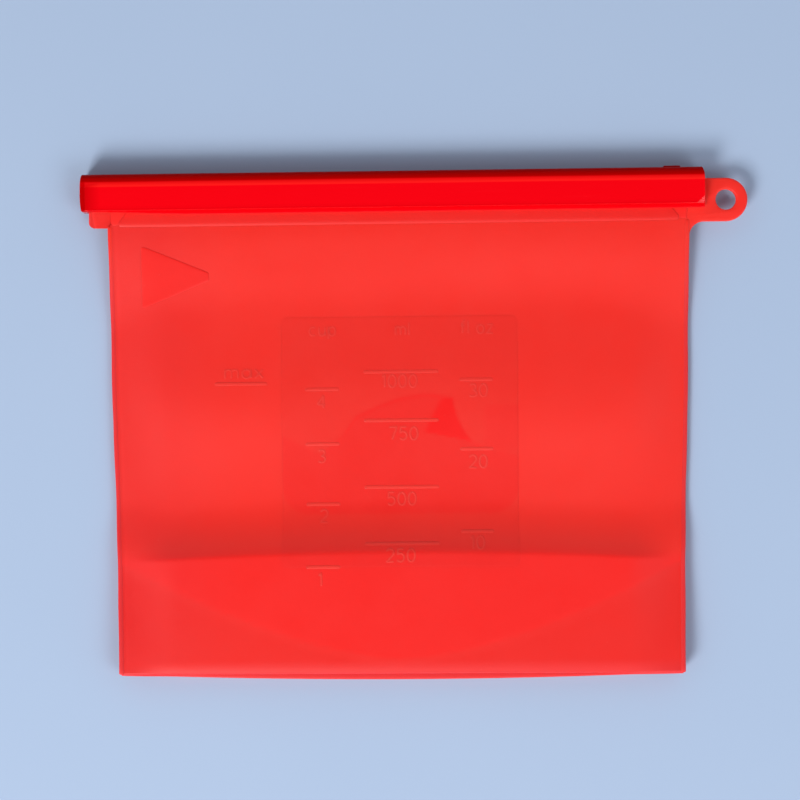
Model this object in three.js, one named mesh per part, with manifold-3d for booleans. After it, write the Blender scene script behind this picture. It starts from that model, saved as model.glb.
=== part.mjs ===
// Reusable silicone food bag, lying flat and closed by its slide bar.
//
// The pouch is moulded silicone: a back wall on the table, a front wall over it, a pleated bottom
// gusset folded up between them, bonded side seams and hems, and two thick rims along the mouth.
// A rigid C-shaped bar slides along the rims and clamps them shut. Millimetres, Z up. X runs along
// the bar, Y from the bottom hem to the bar.

import * as THREE from 'three';
import { mergeVertices } from 'three/addons/utils/BufferGeometryUtils.js';
import Module from 'manifold-3d';

// ---- Driving dimensions -------------------------------------------------------------------------

const GAP = 0.3; // clearance kept between neighbouring pieces
const WALL = 1.0; // silicone wall thickness

// Pouch half width, as [y, half width] from the bottom hem to the rims.
const HALF_WIDTHS = [[0, 104.4], [45, 105.0], [104, 106.8], [168.4, 107.4]];
const SEAM_WIDTH = 2.0; // bonded side seam
const PINCH = 22; // how far in from a side seam the walls swell to their full height

const RIM_LOW = 168.4; // lower edge of the rims
const RIM_HIGH = 184.0; // upper edge of the rims
const RIM_THICKNESS = 1.75;
const RIM_PLANE = 5.5; // height of the plane where the two rims meet
const RIM_RIGHT = 105.8; // both rims end here, at the hanging tab
const BACK_RIM_LEFT = -114.5;
const FRONT_RIM_LEFT = -103.0;
const BEAD_RADIUS = 1.5; // half-round bead along each rim's outer face
const BEAD_Y = 181.4;
const TONGUE_Y = 171.9; // sealing tongue on the front rim, groove in the back rim
const TONGUE_WIDTH = 1.2;
const TONGUE_DEPTH = 0.7;

const BAR_LEFT = -117.0;
const BAR_LENGTH = 229.7;
const BAR_LOW = 173.0;
const BAR_HIGH = 188.0;
const BAR_HEIGHT = 11;
const BAR_LIP = { width: 1.4, thickness: 1.2 }; // thin edge of each jaw, beside the slot
const BAR_RAIL = { height: 0.6, bevel: 1.8 }; // the spine stands this much over the flat faces
const SPINE_RADIUS = 2.8;
const BAR_WALL = 1.7;
const BAR_JAW = 3.2; // width of the two jaws, from their lips to the bar's cavity
const BAR_SLOT = 4.4;
const BAR_CAVITY_CORNER = 1.6;
const BAR_END_WALL = 1.6;
const THUMB_NUB = { left: 97.9, right: 104.1, low: 4, high: 7, proud: 0.7 };

const TAB_CENTRE_X = 120.8;
const TAB_RADIUS = 8.0;
const TAB_HOLE_RADIUS = 3.75;
const TAB_THICKNESS = 2.4;
const TAB_FILLET = 5.4; // rounds the inner corner between tab and side seam

const HEM_WIDTH = 1.8;
const HEM_CORNER = 0.6;
const BACK_HEM_BOW = 2.2; // the back hem's ends lie this much higher up the bag than its middle
const FRONT_HEM_LOW = 2.8;
const FOLD_Y = 47.1; // top of the gusset's fold
const FOLD_ARCH = 1.8; // the fold's ends lie this much lower than its middle
const FOLD_RADIUS = 2.9;

// Heights of the walls above the table, as [y, height] at their crests and hollows.
const FRONT_MIDDLE = [
  [FRONT_HEM_LOW, 7.0], [16, 8.4], [45, 8.4], // lifted by the folded gusset
  [67, 2.4], [110, 4.8], [138, 3.6], // sagging on to the back wall, with one soft wave
  [RIM_LOW, 7.0],
];
const FRONT_SIDE = [[FRONT_HEM_LOW, 7.6], [45, 5.2], [67, 2.6], [128, 2.6], [RIM_LOW, 7.0]];
const BACK_MIDDLE = [[0, 0], [138, 0], [RIM_LOW, 3.9]];
const BACK_SIDE = [[0, 2.8], [50, 0], [138, 0], [RIM_LOW, 3.9]];

const ACROSS = 18; // facets across the pouch, shared by all layers so that they stay parallel
const ALONG = 36; // facets up each wall
const ARC_FINE = 6; // facets in a quarter turn, on the bar and the rims
const ARC_COARSE = 2; // and on the soft folds and hems

const PLATE = { left: -43.8, right: 43.6, low: 42.2, high: 134.6, thickness: 0.4 };
const TICK_WIDTH = 1.0;
const TICK_HEIGHT = 0.4;
const TICKS = [
  { left: -35.1, right: -22.5, heights: [107.8, 87.5, 65.2, 42.3] }, // cups
  { left: -13.5, right: 14.2, heights: [114.1, 96.1, 71.4, 50.7] }, // millilitres
  { left: 22.0, right: 34.3, heights: [110.9, 85.3, 54.9] }, // fluid ounces
];
const MAX_MARK = { left: -68.4, right: -49.1, y: 110.1 };
const ARROW = { left: -94.5, right: -70.2, y: 150.2, height: 22.8, tip: 2.6 };

const SILICONE = { color: 0xef2f28, roughness: 0.5, metalness: 0 };
const BAR_PLASTIC = { color: 0xd9020f, roughness: 0.15, metalness: 0 };

// ---- Shared shape functions ---------------------------------------------------------------------

const { lerp, clamp, smoothstep } = THREE.MathUtils;

// The values of the two keys on either side of a place, and how far between them it lies.
function between(keys, place) {
  let next = keys.findIndex((key) => key[0] > place);
  if (next === -1) next = keys.length - 1;
  if (next === 0) next = 1;
  const [[lowPlace, low], [highPlace, high]] = [keys[next - 1], keys[next]];
  return { low, high, share: clamp((place - lowPlace) / (highPlace - lowPlace), 0, 1) };
}

// Height at y on a curve that levels out at each of its keys.
function alongKeys(keys, y) {
  const { low, high, share } = between(keys, y);
  return lerp(low, high, smoothstep(share, 0, 1));
}

function halfWidth(y) {
  const { low, high, share } = between(HALF_WIDTHS, y);
  return lerp(low, high, share);
}

// Half width of the walls and gusset, inside the side seams.
function innerHalfWidth(y) {
  return halfWidth(y) - SEAM_WIDTH - GAP;
}

// 0 at a side seam, 1 where the wall has its full height.
function swell(x, y) {
  return smoothstep(halfWidth(y) - Math.abs(x), SEAM_WIDTH, PINCH);
}

// The gusset's fold arches: its ends are lower than its middle, and the walls over it follow.
function foldArch(x, y) {
  const startY = 6;
  return FOLD_ARCH * (x / HALF_WIDTHS[0][1]) ** 2 * clamp((y - startY) / (FOLD_Y - startY), 0, 1);
}

function frontTop(x, y) {
  const middle = alongKeys(FRONT_MIDDLE, y + foldArch(x, y));
  return lerp(alongKeys(FRONT_SIDE, y), middle, swell(x, y));
}

function backBottom(x, y) {
  return lerp(alongKeys(BACK_SIDE, y), alongKeys(BACK_MIDDLE, y), swell(x, y));
}

// How far up the bag the back hem's bow moves a point.
function backBow(x, y) {
  return BACK_HEM_BOW * (x / HALF_WIDTHS[0][1]) ** 2 * clamp(1 - y / FOLD_Y, 0, 1);
}

// ---- Mesh helpers -------------------------------------------------------------------------------

// Extrudes a profile drawn in (y, z) from x = left to x = right.
function alongX(profile, left, right, { steps = 1, arc = ARC_FINE } = {}) {
  const geometry = new THREE.ExtrudeGeometry(profile, {
    depth: right - left, steps, bevelEnabled: false, curveSegments: arc,
  });
  const turn = new THREE.Matrix4().makeBasis(
    new THREE.Vector3(0, 1, 0), new THREE.Vector3(0, 0, 1), new THREE.Vector3(1, 0, 0));
  return geometry.applyMatrix4(turn).translate(left, 0, 0);
}

// Moves each point of a geometry to where place(x, y, z) puts it.
function warped(geometry, place) {
  const points = geometry.attributes.position;
  for (let i = 0; i < points.count; i += 1) {
    points.setXYZ(i, ...place(points.getX(i), points.getY(i), points.getZ(i)));
  }
  return geometry;
}

// A box of nx by ny facets whose points (u, v, w), each from 0 to 1, go where place puts them.
function warpedBox(nx, ny, place) {
  return warped(new THREE.BoxGeometry(1, 1, 1, nx, ny, 1).translate(0.5, 0.5, 0.5), place);
}

// A profile drawn in (y, z) and swept across the pouch, with facets that match the walls'. side runs
// from -1 at the left seam to 1 at the right one.
function acrossPouch(profile, place) {
  return warped(alongX(profile, -1, 1, { steps: ACROSS, arc: ARC_COARSE }), place);
}

// Extrudes an outline drawn in (x, y) from height low to height high.
function alongZ(outline, low, high) {
  const geometry = new THREE.ExtrudeGeometry(outline, {
    depth: high - low, bevelEnabled: false, curveSegments: 12,
  });
  return geometry.translate(0, 0, low);
}

const wasm = await Module();
wasm.setup();

function solid(geometry) {
  const plain = geometry.clone();
  plain.deleteAttribute('normal');
  plain.deleteAttribute('uv');
  const merged = mergeVertices(plain, 1e-4);
  return new wasm.Manifold(new wasm.Mesh({
    numProp: 3,
    vertProperties: new Float32Array(merged.attributes.position.array),
    triVerts: new Uint32Array(merged.index.array),
  }));
}

function toGeometry(manifold) {
  const mesh = manifold.getMesh();
  const geometry = new THREE.BufferGeometry();
  geometry.setAttribute('position', new THREE.BufferAttribute(mesh.vertProperties, 3));
  geometry.setIndex(new THREE.BufferAttribute(mesh.triVerts, 1));
  return geometry;
}

// A closed rounded rectangle in (y, z), or in (x, y) for an outline.
function roundedRectangle(low, high, bottom, top, radius) {
  const shape = new THREE.Shape();
  shape.moveTo(low + radius, bottom);
  shape.lineTo(high - radius, bottom);
  shape.absarc(high - radius, bottom + radius, radius, -Math.PI / 2, 0);
  shape.lineTo(high, top - radius);
  shape.absarc(high - radius, top - radius, radius, 0, Math.PI / 2);
  shape.lineTo(low + radius, top);
  shape.absarc(low + radius, top - radius, radius, Math.PI / 2, Math.PI);
  shape.lineTo(low, bottom + radius);
  shape.absarc(low + radius, bottom + radius, radius, Math.PI, 1.5 * Math.PI);
  return shape;
}

// ---- Walls, gusset, seams and hems --------------------------------------------------------------

function backWall() {
  return warpedBox(ACROSS, ALONG / 2, (u, v, w) => {
    const y0 = lerp(HEM_WIDTH + GAP, RIM_LOW - GAP, v);
    const x = lerp(-1, 1, u) * innerHalfWidth(y0);
    const y = y0 + backBow(x, y0);
    return [x, y, backBottom(x, y0) + w * WALL];
  });
}

function frontWall() {
  return warpedBox(ACROSS, ALONG, (u, v, w) => {
    const y = lerp(FRONT_HEM_LOW + HEM_WIDTH + GAP, RIM_LOW - GAP, v);
    const x = lerp(-1, 1, u) * innerHalfWidth(y);
    return [x, y, frontTop(x, y) - WALL + w * WALL];
  });
}

// The gusset is one sheet folded into a U that opens downwards, drawn flat and level here.
function gussetProfile(low, high) {
  const middle = (low + high) / 2;
  const foldCentre = FOLD_Y - FOLD_RADIUS;
  const backStart = HEM_WIDTH + GAP;
  const frontStart = FRONT_HEM_LOW + HEM_WIDTH + GAP;
  const leafSteps = 7;
  const inner = FOLD_RADIUS - WALL;
  const shape = new THREE.Shape();
  shape.moveTo(backStart, low);
  for (let i = 1; i <= leafSteps; i += 1) shape.lineTo(lerp(backStart, foldCentre, i / leafSteps), low);
  shape.absarc(foldCentre, middle, FOLD_RADIUS, -Math.PI / 2, Math.PI / 2);
  for (let i = 1; i <= leafSteps; i += 1) shape.lineTo(lerp(foldCentre, frontStart, i / leafSteps), high);
  for (let i = 0; i < leafSteps; i += 1) {
    shape.lineTo(lerp(frontStart, foldCentre, i / leafSteps), high - WALL);
  }
  shape.absarc(foldCentre, middle, inner, Math.PI / 2, -Math.PI / 2, true);
  for (let i = 1; i <= leafSteps; i += 1) {
    shape.lineTo(lerp(foldCentre, backStart, i / leafSteps), low + WALL);
  }
  return shape;
}

// Lifts the level gusset into the space between the walls, and arches its fold.
function bottomGusset() {
  const low = 0;
  const high = 2 * FOLD_RADIUS;
  return acrossPouch(gussetProfile(low, high), (side, y0, z0) => {
    const x = side * innerHalfWidth(y0);
    const level = (z0 - low) / (high - low);
    const floor = backBottom(x, y0) + WALL + GAP;
    const roof = frontTop(x, y0) - WALL - GAP;
    const bow = level < 0.5 ? backBow(x, y0) : 0;
    return [x, y0 - foldArch(x, y0) + bow, lerp(floor, roof, level)];
  });
}

// The seam bonds the edges of both walls and of the gusset, from the hems up to the rims.
function sideSeam(side) {
  return warpedBox(1, ALONG, (u, v, w) => {
    const outward = side > 0 ? u : 1 - u;
    const y = lerp(FRONT_HEM_LOW, RIM_LOW - GAP, v);
    const x = side * (halfWidth(y) - SEAM_WIDTH * (1 - outward));
    return [x, y, lerp(alongKeys(BACK_SIDE, y), alongKeys(FRONT_SIDE, y), w)];
  });
}

// The front wall is bonded to the gusset's front leaf along this hem.
function frontHem() {
  const thickness = 2 * WALL + GAP;
  const profile = roundedRectangle(0, HEM_WIDTH, -thickness, 0, HEM_CORNER);
  const y = FRONT_HEM_LOW + HEM_WIDTH;
  return acrossPouch(profile, (side, dy, dz) => {
    const x = side * innerHalfWidth(y);
    return [x, FRONT_HEM_LOW + dy, frontTop(x, y) + dz];
  });
}

// The back wall is bonded to the gusset's back leaf along this hem.
function backHem() {
  const thickness = 2 * WALL + GAP;
  const profile = roundedRectangle(0, HEM_WIDTH, 0, thickness, HEM_CORNER);
  return acrossPouch(profile, (side, dy, dz) => {
    const x = side * innerHalfWidth(HEM_WIDTH);
    return [x, dy + backBow(x, HEM_WIDTH), backBottom(x, HEM_WIDTH) + dz];
  });
}

// ---- Rims, tab and bar --------------------------------------------------------------------------

// A rim's section with its back to the meeting plane at z = 0 and its bead facing +z.
function rimProfile(mark) {
  const shape = new THREE.Shape();
  const edge = 0.7;
  shape.moveTo(RIM_LOW, 0);
  shape.lineTo(TONGUE_Y - mark.width / 2, 0);
  shape.lineTo(TONGUE_Y - mark.width / 2, mark.height);
  shape.lineTo(TONGUE_Y + mark.width / 2, mark.height);
  shape.lineTo(TONGUE_Y + mark.width / 2, 0);
  shape.lineTo(RIM_HIGH, 0);
  shape.lineTo(RIM_HIGH, RIM_THICKNESS);
  shape.lineTo(BEAD_Y + BEAD_RADIUS, RIM_THICKNESS);
  shape.absarc(BEAD_Y, RIM_THICKNESS, BEAD_RADIUS, 0, Math.PI);
  shape.lineTo(RIM_LOW + edge, RIM_THICKNESS);
  shape.absarc(RIM_LOW + edge, RIM_THICKNESS - edge, edge, Math.PI / 2, Math.PI);
  return shape;
}

// The outline that trims a rim's lower corners.
function rimOutline(left, cornerLeft, cornerRight) {
  const margin = 1;
  const shape = new THREE.Shape();
  shape.moveTo(left + cornerLeft, RIM_LOW);
  shape.lineTo(RIM_RIGHT - cornerRight, RIM_LOW);
  shape.lineTo(RIM_RIGHT, RIM_LOW + cornerRight);
  shape.lineTo(RIM_RIGHT, RIM_HIGH + margin);
  shape.lineTo(left, RIM_HIGH + margin);
  shape.lineTo(left, RIM_LOW + cornerLeft);
  shape.absarc(left + cornerLeft, RIM_LOW + cornerLeft, cornerLeft, Math.PI, 1.5 * Math.PI);
  return shape;
}

function frontRim() {
  const tongue = { width: TONGUE_WIDTH, height: -TONGUE_DEPTH };
  const base = RIM_PLANE + GAP / 2;
  const strip = alongX(rimProfile(tongue), FRONT_RIM_LEFT, RIM_RIGHT).translate(0, 0, base);
  const trim = alongZ(rimOutline(FRONT_RIM_LEFT, 2.4, 2.0), 0, BAR_HEIGHT);
  return toGeometry(solid(strip).intersect(solid(trim)));
}

function backRim() {
  const groove = { width: TONGUE_WIDTH + 2 * GAP, height: TONGUE_DEPTH };
  const base = RIM_PLANE - GAP / 2;
  const strip = alongX(rimProfile(groove), -RIM_RIGHT, -BACK_RIM_LEFT)
    .rotateY(Math.PI)
    .translate(0, 0, base);
  const trim = alongZ(rimOutline(BACK_RIM_LEFT, 2.3, 0.01), 0, BAR_HEIGHT);
  return toGeometry(solid(strip).intersect(solid(trim)));
}

// Flat hanging tab at the right end of the rims, filleted into the side seam.
function hangingTab() {
  const centreY = RIM_HIGH - TAB_RADIUS;
  const low = centreY - TAB_RADIUS;
  const root = RIM_RIGHT + GAP;
  const seamEdge = halfWidth(RIM_LOW) + GAP;
  const outline = new THREE.Shape();
  outline.moveTo(seamEdge, low - TAB_FILLET);
  outline.absarc(seamEdge + TAB_FILLET, low - TAB_FILLET, TAB_FILLET, Math.PI, Math.PI / 2, true);
  outline.lineTo(TAB_CENTRE_X, low);
  outline.absarc(TAB_CENTRE_X, centreY, TAB_RADIUS, -Math.PI / 2, Math.PI / 2);
  outline.lineTo(root, RIM_HIGH);
  outline.lineTo(root, RIM_LOW);
  outline.lineTo(seamEdge, RIM_LOW);
  const hole = new THREE.Path();
  hole.absarc(TAB_CENTRE_X, centreY, TAB_HOLE_RADIUS, 0, 2 * Math.PI, true);
  outline.holes.push(hole);
  return alongZ(outline, RIM_PLANE - TAB_THICKNESS / 2, RIM_PLANE + TAB_THICKNESS / 2);
}

// The bar's outline in (y, z), the same above and below its middle: a thin lip on each jaw, a flat face,
// and a rounded spine that stands a little over the faces.
function barProfile() {
  const middle = BAR_HEIGHT / 2;
  const lip = BAR_SLOT / 2 + BAR_LIP.thickness;
  const face = middle - BAR_RAIL.height;
  const step = BAR_LOW + BAR_LIP.width;
  const spine = BAR_HIGH - SPINE_RADIUS;
  const shape = new THREE.Shape();
  shape.moveTo(BAR_LOW, middle - lip);
  shape.lineTo(step, middle - lip);
  shape.lineTo(step, middle - face);
  shape.lineTo(spine - BAR_RAIL.bevel, middle - face);
  shape.lineTo(spine, 0);
  shape.absarc(spine, SPINE_RADIUS, SPINE_RADIUS, -Math.PI / 2, 0);
  shape.absarc(spine, BAR_HEIGHT - SPINE_RADIUS, SPINE_RADIUS, 0, Math.PI / 2);
  shape.lineTo(spine - BAR_RAIL.bevel, middle + face);
  shape.lineTo(step, middle + face);
  shape.lineTo(step, middle + lip);
  shape.lineTo(BAR_LOW, middle + lip);
  return shape;
}

// C-shaped clamping bar: closed at its left end, open at its right end where the tab comes out.
function slideBar() {
  const right = BAR_LEFT + BAR_LENGTH;
  const middle = BAR_HEIGHT / 2;
  const past = 1; // how far each cut and joined shape reaches past the surface that it meets
  const body = alongX(barProfile(), BAR_LEFT, right);
  const cavity = alongX(
    roundedRectangle(
      BAR_LOW + BAR_JAW, BAR_HIGH - BAR_WALL, BAR_WALL, BAR_HEIGHT - BAR_WALL, BAR_CAVITY_CORNER),
    BAR_LEFT + BAR_END_WALL, right + past);
  const slot = alongX(
    roundedRectangle(
      BAR_LOW - past, BAR_LOW + BAR_JAW + past, middle - BAR_SLOT / 2, middle + BAR_SLOT / 2, 0.4),
    BAR_LEFT + BAR_END_WALL, right + past);
  const nub = alongX(
    roundedRectangle(BAR_HIGH - past, BAR_HIGH + THUMB_NUB.proud, THUMB_NUB.low, THUMB_NUB.high, 0.5),
    THUMB_NUB.left, THUMB_NUB.right);
  return toGeometry(solid(body).subtract(solid(cavity)).subtract(solid(slot)).add(solid(nub)));
}

// ---- Raised marks on the front wall -------------------------------------------------------------

// A thin pad on the front wall; bottom and top are heights above the wall.
function pad(left, right, low, high, bottom, top) {
  const rows = Math.max(1, Math.round((high - low) / 4));
  const columns = Math.max(1, Math.round((right - left) / 10));
  return warpedBox(columns, rows, (u, v, w) => {
    const [x, y] = [lerp(left, right, u), lerp(low, high, v)];
    return [x, y, frontTop(x, y) + lerp(bottom, top, w)];
  });
}

function volumeScale() {
  const face = GAP + PLATE.thickness;
  let scale = solid(pad(PLATE.left, PLATE.right, PLATE.low, PLATE.high, GAP, face));
  for (const { left, right, heights } of TICKS) {
    for (const y of heights) {
      const tick = pad(left, right, y - TICK_WIDTH / 2, y + TICK_WIDTH / 2, face - 0.2, face + TICK_HEIGHT);
      scale = scale.add(solid(tick));
    }
  }
  return toGeometry(scale);
}

function maxFillMark() {
  const { left, right, y } = MAX_MARK;
  return pad(left, right, y - TICK_WIDTH / 2, y + TICK_WIDTH / 2, GAP, GAP + TICK_HEIGHT);
}

// Raised arrowhead that points the way the bar closes.
function closingArrow() {
  return warpedBox(5, 5, (u, v, w) => {
    const x = lerp(ARROW.left, ARROW.right, u);
    const y = ARROW.y + (v - 0.5) * lerp(ARROW.height, ARROW.tip, u);
    return [x, y, frontTop(x, y) + GAP + w * TICK_HEIGHT];
  });
}

// ---- Assembly -----------------------------------------------------------------------------------

const PIECES = [
  ['back_wall', backWall(), SILICONE],
  ['front_wall', frontWall(), SILICONE],
  ['bottom_gusset', bottomGusset(), SILICONE],
  ['left_side_seam', sideSeam(-1), SILICONE],
  ['right_side_seam', sideSeam(1), SILICONE],
  ['front_hem', frontHem(), SILICONE],
  ['back_hem', backHem(), SILICONE],
  ['back_rim', backRim(), SILICONE],
  ['front_rim', frontRim(), SILICONE],
  ['hanging_tab', hangingTab(), SILICONE],
  ['volume_scale', volumeScale(), SILICONE],
  ['max_fill_mark', maxFillMark(), SILICONE],
  ['closing_arrow', closingArrow(), SILICONE],
  ['slide_bar', slideBar(), BAR_PLASTIC],
];

// The origin is the middle of the lying bag's outline, on the table.
const group = new THREE.Group();
group.name = 'silicone_bag';
group.position.x = -(BAR_LEFT + TAB_CENTRE_X + TAB_RADIUS) / 2;
group.position.y = -(BAR_HIGH + THUMB_NUB.proud) / 2;
for (const [name, geometry, look] of PIECES) {
  const mesh = new THREE.Mesh(geometry, new THREE.MeshStandardMaterial(look));
  mesh.name = name;
  group.add(mesh);
}

export default group;
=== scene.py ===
"""Reusable silicone food bag, lying flat and closed by its slide bar.

Sizes are in millimetres in the bag's own frame, which the CAD part uses too: x across the pouch from
its middle line, y from the bottom hem up to the bar, z up from the table. in_row_frame() turns them
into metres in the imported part's frame.
"""
import math

import bmesh
import bpy
import numpy as np
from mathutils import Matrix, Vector


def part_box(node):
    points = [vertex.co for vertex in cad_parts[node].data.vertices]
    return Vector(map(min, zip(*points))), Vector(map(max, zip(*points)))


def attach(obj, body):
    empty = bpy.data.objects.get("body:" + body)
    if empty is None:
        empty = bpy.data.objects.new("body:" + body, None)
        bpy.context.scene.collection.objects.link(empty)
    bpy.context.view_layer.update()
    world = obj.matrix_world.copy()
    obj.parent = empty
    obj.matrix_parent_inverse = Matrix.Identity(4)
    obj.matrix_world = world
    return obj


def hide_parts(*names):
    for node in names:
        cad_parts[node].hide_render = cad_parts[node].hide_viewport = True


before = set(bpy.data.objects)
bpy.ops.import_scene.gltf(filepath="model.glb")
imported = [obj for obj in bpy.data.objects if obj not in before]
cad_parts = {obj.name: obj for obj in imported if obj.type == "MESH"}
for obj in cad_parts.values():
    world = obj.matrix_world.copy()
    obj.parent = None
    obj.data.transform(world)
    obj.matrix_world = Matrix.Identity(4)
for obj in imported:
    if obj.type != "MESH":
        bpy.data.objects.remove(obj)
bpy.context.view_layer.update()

MM = 0.001
SHIFT = Vector((
    (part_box("front_wall")[0].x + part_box("front_wall")[1].x) / 2,
    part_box("back_hem")[0].y,
    0,
))

# ---- Driving dimensions ----

WALL = 1.0  # silicone wall thickness
LAYER_GAP = 0.1  # between the gusset's leaves and the walls over and under them
HALF_WIDTHS = [[0, 104.4], [45, 105.0], [104, 106.8], [168.4, 107.4]]  # as [y, half width]
SEAM_WIDTH = 2.0
SEAM_PROUD = 0.1  # how far the welded seam stands over the walls
SEAM_ROUNDING = 0.6  # of a seam's two ends
WELD_GROOVE = {"depth": 0.08, "inside": 0.5, "width": 0.8}  # pressed into the walls beside a seam
PINCH = 22  # how far in from a seam the walls swell to their full height

RIM_LOW = 168.4
RIM_HIGH = 184.0
RIM_THICKNESS = 1.75
RIM_PLANE = 5.5  # height of the plane where the two rims meet
RIM_GAP = 0.05  # each rim lies this far off that plane
RIM_EDGE = (2.1, 0.75)  # reach and height of a rim's soft lower edge
RIM_OVERLAP = 1  # the walls end this far inside the rims
RIM_FALL = 0.3  # the gripped band falls this much towards the pouch
RIM_END = {"share": 0.004, "rounding": 0.5}  # of a rim's length that is rounded, and by how much
RIM_RIGHT = 105.8
BACK_RIM_LEFT = -114.5
FRONT_RIM_LEFT = -103.0
FRONT_BAND_PROUD = 0.15  # the front rim's gripped band is this much thicker
FRONT_STRIP_SUNK = 0.1  # and the strip under it this much thinner
BAND_SLANT = {"start": 170.4, "up": 3.6, "across": 3.0}  # of the gripped band's two ends
BACK_RIM_CORNER = 2.3
BEAD_RADIUS = 1.5
BEAD_Y = 181.4

BAR_LEFT = -117.0
BAR_RIGHT = 112.7
BAR_LOW = 173.0
BAR_HIGH = 188.0
BAR_HEIGHT = 11
BAR_EDGE = 0.25  # rounding of the lip's and the face's edges
BAR_LIP = {"width": 1.4, "thickness": 1.2}  # thin edge of each jaw, beside the slot
LIP_START = {"share": 0.12, "along": 42}  # at the closed end the lip has this share of its width
BAR_RAIL = {"height": 0.6, "bevel": 1.8}  # the spine stands this much over the flat faces
SPINE_RADIUS = 2.8
BAND_OVERLAP = 0.5  # the spine's band of painted shade reaches this far on to the rail
BAR_WALL = 1.7
BAR_JAW = 3.2
BAR_SLOT = 4.4
BAR_CAVITY_CORNER = 1.6
BAR_END_WALL = 1.6
BAR_END_BULGE = 0.7  # the closed end's outline is slightly convex
BAR_END_INSET = 0.03  # keeps the closed end's faces off the bar's own
SPINE_END = {"along": 1.0, "across": 5, "pull": 0.9}  # the spine's end is rounded back at the open end
ENTRY_BEVEL = {"along": 3.2, "across": 3.0, "depth": 1.0}  # at the open end, where the bar slides on
THUMB_NUB = {"left": 97.9, "right": 104.1, "low": 4, "high": 7, "proud": 0.7}
THUMB_NUB_ROUNDING = 0.45

TAB_CENTRE_X = 120.8
TAB_RADIUS = 8.0
TAB_HOLE_RADIUS = 3.75
TAB_THICKNESS = 2.4
TAB_FILLET = 5.4

HEM_WIDTH = 1.8
BACK_HEM_REACH = 2.4  # the back hem reaches in this much further than the front hem
BACK_HEM_BOW = 2.2  # the back hem's ends lie this much higher up the bag than its middle
FRONT_HEM_LOW = 2.8
HEM_INSET = 0.7  # the walls end this far inside the hems
FOLD_Y = 47.1  # top of the gusset's fold
FOLD_ARCH = 3.6  # the fold's ends lie this much lower than its middle
FOLD_ONSET = 1.5  # the wall turns down from the fold over about this length
FOLD_RADIUS = 2.9
FOLD_HEIGHT = 8.4  # height of the front wall over the folded gusset
FALL_END = 67  # where the wall has come down from the fold to the back wall
FALL_HEIGHT = 2.8  # the front wall's height there
HEM_ROUNDING = 5.0  # the front wall rounds down to its hem over this length
HEM_DROP = 1.35  # and comes down by this much
GUSSET_ARC = {"low": 8.4, "rise": 36.6, "power": 1.6}  # line of the curved welds in the corners

# Heights of the walls, as [y, height] at their crests and hollows.
FRONT_MIDDLE = [[FALL_END, FALL_HEIGHT], [110, 4.8], [138, 3.9], [RIM_LOW, 6.7]]
FRONT_SIDE = [[FRONT_HEM_LOW, 7.6], [45, 5.2], [67, 2.6], [128, 2.6], [RIM_LOW, 6.8]]
BACK_MIDDLE = [[0, 0], [138, 0], [RIM_LOW, 3.9]]
BACK_SIDE = [[0, 2.8], [50, 0], [138, 0], [RIM_LOW, 3.9]]
ASKEW_HEM = 0.0087  # the pouch has settled askew under the bar: its hem is turned by this much
ASKEW_SIDE = 0.0046  # and its sides lean by this much
# Soft swellings of the front wall: centre x and y, reach across and up, height.
SWELLINGS = [
    (-62, 98, 30, 15, 0.45),
    (60, 96, 26, 13, 0.45),
    (-30, 146, 40, 14, 0.35),
    (48, 142, 36, 16, -0.3),
    (4, 121, 26, 6, -0.09),
]

# Where the front wall clings to the back wall: the area's upper edge as (x, y), its lower edge with
# round corners, the shoulder and patch along its upper edge, and the wedge that is pressed flat.
CLING_LINE = [
    (-43.8, 91), (-30, 83.5), (-21.4, 91), (-16.4, 98.1), (-7.9, 102), (0, 104.8),
    (8.4, 106.2), (13, 105.9), (19, 104.8), (22.5, 95), (26.8, 88), (35, 84.5), (43.6, 83),
]
CLING_LOW = {"y": 61.5, "half_width": 43.7, "corner": 10}
SHOULDER = {"left": -22, "right": 20, "width": 0.8, "strength": 0.4}
PATCH = {"left": 31, "low": 84, "high": 101.5, "strength": 0.8}
WEDGE = {"left": 8.0, "right": 19.8, "low": 88, "high": 104.5, "corner": 91.7}
WEDGE_SIDES = {"lean": 6.5, "flare": 7, "floor_slope": 0.21}

PLATE = {"left": -43.8, "right": 43.6, "low": 42.2, "high": 134.6}
PLATE_PROUD = 0.05
PLATE_CORNER = 2.5
TICKS = [
    {"left": -35.1, "right": -22.5, "heights": [107.8, 87.5, 65.2, 42.3]},
    {"left": -13.5, "right": 14.2, "heights": [114.1, 96.1, 71.4, 50.7]},
    {"left": 22.0, "right": 34.3, "heights": [110.9, 85.3, 54.9]},
]
TICK_WIDTH = 1.3
MARK_PROUD = 0.16  # how far the raised marks stand over the wall
MAX_MARK = {"left": -68.4, "right": -49.1, "y": 110.1}
ARROW = {"left": -95.2, "right": -70.2, "y": 150.0, "height": 23.6, "tip": 3.0}
ARROW_CORNERS = {"left": 1.4, "right": 0.8}
PAD_SINK = 0.35  # a raised pad's foot lies this deep in the wall
STROKE_SINK = 0.25  # and a raised stroke's foot this deep
CAP_HEIGHT = 4.7
STROKE_WIDTH = 0.75
# Generic scale lettering: text, centre x, centre y.
LABELS = [
    ("1000", -0.2, 110.7), ("750", 1.1, 91.3), ("500", 0.3, 67.1), ("250", -0.3, 46.5),
    ("4", -29.0, 103.2), ("3", -29.2, 83.1), ("2", -28.5, 60.9), ("1", -29.9, 37.7),
    ("30", 28.9, 107.0), ("20", 28.7, 80.7), ("10", 28.1, 50.9),
    ("cup", -28.6, 130.1), ("ml", 1.0, 130.0), ("fl oz", 28.6, 130.3),
]
MAX_LABEL = ("max", -57.7, 114.6)
LETTER_SPACING = 0.22  # of the cap height
FLOOR_REACH = 2000
FLOOR_DROP = 0.05  # the floor lies this far under the bag, so that their faces don't coincide


# ---- Surfaces of the lying bag ----

def mix(a, b, t):
    return a + (b - a) * t


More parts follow.
